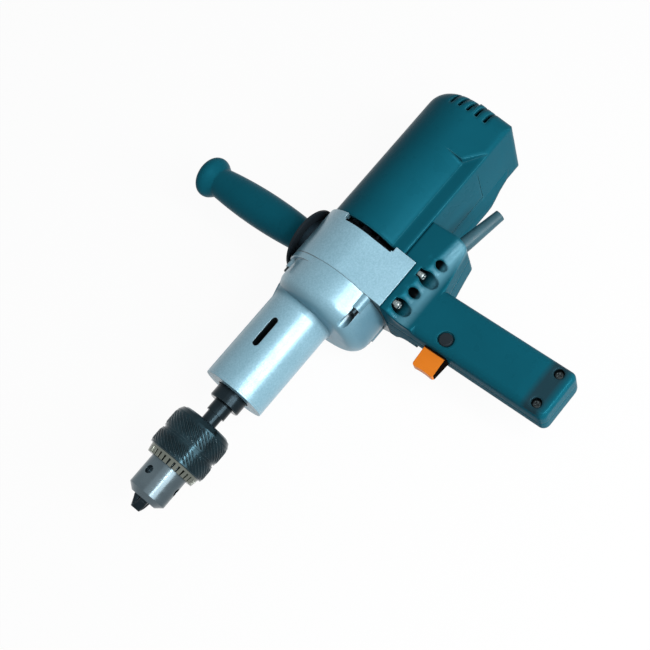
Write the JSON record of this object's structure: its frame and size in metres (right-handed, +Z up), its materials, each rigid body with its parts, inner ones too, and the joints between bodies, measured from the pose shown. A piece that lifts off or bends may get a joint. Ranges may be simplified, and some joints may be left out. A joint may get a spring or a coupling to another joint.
{
  "type": "power drill",
  "caption": "Heavy two-handed electric drill with a switch handle, a side grip, a geared motor and a keyed chuck on a taper arbor.",
  "frame": {"origin": "centre of the nose barrel's front end, on the spindle axis", "axes": "+X along the spindle to the chuck, +Y to the switch handle, +Z up, towards the side with the lock button"},
  "size_m": [0.467, 0.412, 0.097],
  "materials": {
    "teal_housing": "fine moulded grain, semi-matt",
    "silver_casting": "silver stove enamel, satin",
    "black_plastic": "semi-matt",
    "orange_plastic": "semi-gloss",
    "black_rubber": "matt",
    "blued_steel": "oil blackened",
    "bright_steel": "satin ground",
    "core_steel": "stacked sheet",
    "copper_wire": "varnished",
    "bronze": "sintered",
    "carbon": "pressed carbon",
    "zinc_screws": "zinc plated"
  },
  "bodies": {
    "housing": {"front_gear_case": "silver_casting", "rear_gear_case": "silver_casting", "bearing_plate": "silver_casting", "motor_housing": "teal_housing", "long_case_screws": "zinc_screws", "short_case_screws": "zinc_screws", "stator_core": "core_steel", "field_coils": "copper_wire", "armature_front_bearing": "bright_steel", "armature_rear_bearing": "bright_steel", "brush_holders": "bronze", "carbon_brushes": "carbon", "brush_springs": "bright_steel", "layshaft_rear_bush": "bronze", "layshaft_front_bush": "bronze", "spindle_rear_bush": "bronze", "spindle_front_bearing": "bright_steel", "spindle_seal": "black_rubber", "upper_handle_shell": "teal_housing", "lower_handle_shell": "teal_housing", "handle_mount_screws": "zinc_screws", "handle_end_screws": "zinc_screws", "trigger_switch": "black_plastic", "cord_guard": "black_rubber", "cord_clamp": "black_plastic", "cord_clamp_screws": "zinc_screws", "side_grip": "teal_housing", "side_grip_disc": "black_plastic", "side_grip_stud": "bright_steel"},
    "spindle": {"spindle": "blued_steel", "spindle_wheel": "bright_steel", "chuck_arbor": "blued_steel", "chuck_body": "bright_steel"},
    "layshaft": {"layshaft": "bright_steel", "layshaft_wheel": "bright_steel", "layshaft_pinion": "bright_steel"},
    "armature": {"armature_shaft": "bright_steel", "armature_core": "core_steel", "armature_winding": "copper_wire", "commutator": "copper_wire", "cooling_fan": "black_plastic"},
    "sleeve": {"chuck_sleeve": "blued_steel", "chuck_nut": "blued_steel"},
    "jaw_1": {"chuck_jaw_1": "blued_steel"},
    "jaw_2": {"chuck_jaw_2": "blued_steel"},
    "jaw_3": {"chuck_jaw_3": "blued_steel"},
    "trigger": {"trigger": "orange_plastic"},
    "lock_button": {"lock_button": "black_plastic"}
  },
  "joints": [
    {"name": "spindle_turn", "type": "hinge", "parent": "housing", "child": "spindle", "pos_m": [0, 0, 0], "axis": [1, 0, 0], "continuous": true},
    {"name": "layshaft_turn", "type": "hinge", "parent": "housing", "child": "layshaft", "pos_m": [0, 0.03375, 0], "axis": [1, 0, 0], "continuous": true},
    {"name": "armature_turn", "type": "hinge", "parent": "housing", "child": "armature", "pos_m": [0, 0.00675, 0], "axis": [1, 0, 0], "continuous": true},
    {"name": "sleeve_turn", "type": "hinge", "parent": "spindle", "child": "sleeve", "pos_m": [0, 0, 0], "axis": [1, 0, 0], "range_deg": [0, 4680]},
    {"name": "jaw_1_slide", "type": "slide", "parent": "spindle", "child": "jaw_1", "axis": [-0.9744, -0.2162, 0.062], "range_m": [0, 0.026]},
    {"name": "jaw_2_slide", "type": "slide", "parent": "spindle", "child": "jaw_2", "axis": [-0.9744, 0.0544, -0.2183], "range_m": [0, 0.026]},
    {"name": "jaw_3_slide", "type": "slide", "parent": "spindle", "child": "jaw_3", "axis": [-0.9744, 0.1618, 0.1563], "range_m": [0, 0.026]},
    {"name": "trigger_press", "type": "slide", "parent": "housing", "child": "trigger", "axis": [-1, 0, 0], "range_m": [0, 0.007], "stiffness_N_per_m": 700, "springref_m": -0.002},
    {"name": "lock_press", "type": "slide", "parent": "housing", "child": "lock_button", "axis": [0, 0, -1], "range_m": [0, 0.0025], "stiffness_N_per_m": 600, "springref_m": -0.001}
  ],
  "couplings": [
    {"joint": "layshaft_turn", "follows": "spindle_turn", "ratio": -3.0909},
    {"joint": "armature_turn", "follows": "spindle_turn", "ratio": 15.455},
    {"joint": "jaw_1_slide", "follows": "sleeve_turn", "m_per_rad": 0.00031831},
    {"joint": "jaw_2_slide", "follows": "sleeve_turn", "m_per_rad": 0.00031831},
    {"joint": "jaw_3_slide", "follows": "sleeve_turn", "m_per_rad": 0.00031831}
  ]
}
